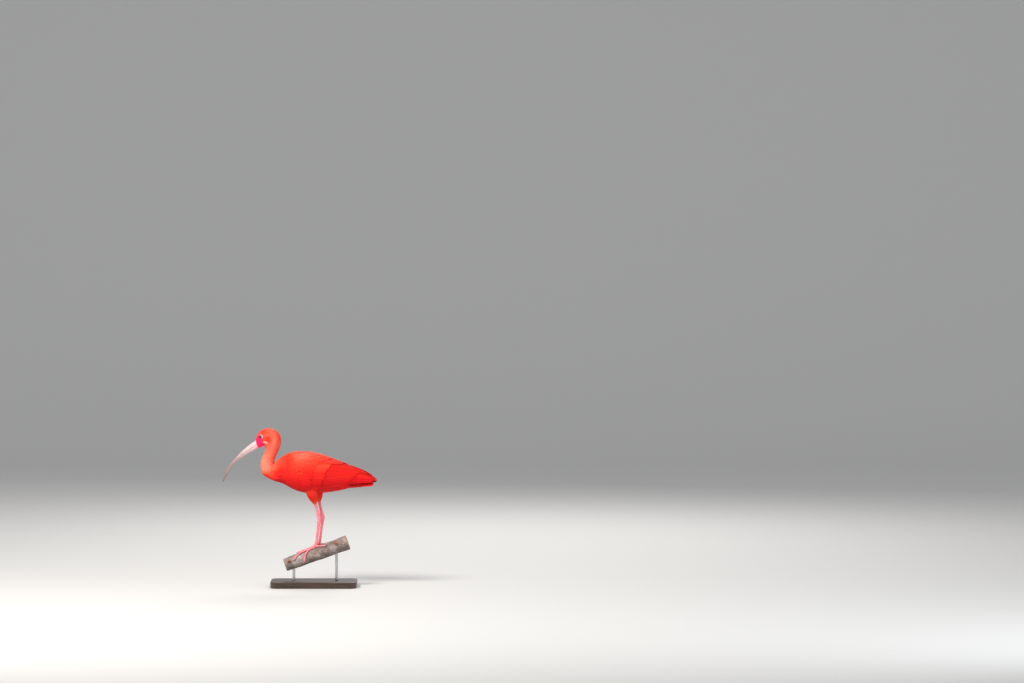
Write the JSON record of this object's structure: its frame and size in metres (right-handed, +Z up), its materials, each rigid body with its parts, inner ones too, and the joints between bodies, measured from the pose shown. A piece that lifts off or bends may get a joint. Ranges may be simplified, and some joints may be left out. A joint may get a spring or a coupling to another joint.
{
  "type": "scarlet ibis",
  "caption": "Life-size scarlet ibis standing in profile on a short cut length of branch, held over a flat base by plain rods, for display",
  "frame": {"origin": "the middle of the underside of the stand's base", "axes": "X runs from the bill (-X) to the tail (+X), Y runs from the bird's left side (-Y) to its right side (+Y), Z is up"},
  "size_m": [0.4454, 0.15, 0.4603],
  "materials": {
    "scarlet_plumage": "soft overlapping feathers, vivid scarlet, deeper red in the shade of the folds",
    "neck_plumage": "short, close, salmon-scarlet feathers",
    "head_plumage": "very short orange-scarlet feathers, with bare magenta-pink skin on the face",
    "bill_horn": "smooth horn with a dull shine, flesh-pink",
    "eye": "wet and dark",
    "leg_skin": "scaly bare skin, salmon-pink",
    "claw_horn": "pale horn, darker towards the tip",
    "bark": "rough grey-brown bark",
    "base_wood": "dark satin wood",
    "rod_steel": "brushed"
  },
  "bodies": {
    "root": {"torso": "scarlet_plumage", "tail": "scarlet_plumage", "wing_left": "scarlet_plumage", "wing_right": "scarlet_plumage", "thigh_left": "scarlet_plumage", "thigh_right": "scarlet_plumage", "neck_upper": "neck_plumage", "neck_lower": "neck_plumage", "head": "head_plumage", "bill_upper": "bill_horn", "bill_lower": "bill_horn", "eye_left": "eye", "shank_left": "leg_skin", "tarsus_left": "leg_skin", "foot_left": "leg_skin", "claw_hind_left": "claw_horn", "claw_inner_left": "claw_horn", "claw_middle_left": "claw_horn", "claw_outer_left": "claw_horn", "eye_right": "eye", "shank_right": "leg_skin", "tarsus_right": "leg_skin", "foot_right": "leg_skin", "claw_hind_right": "claw_horn", "claw_inner_right": "claw_horn", "claw_middle_right": "claw_horn", "claw_outer_right": "claw_horn", "perch_branch": "bark", "stand_base": "base_wood", "stand_rod_front": "rod_steel", "stand_rod_back": "rod_steel"}
  },
  "joints": []
}
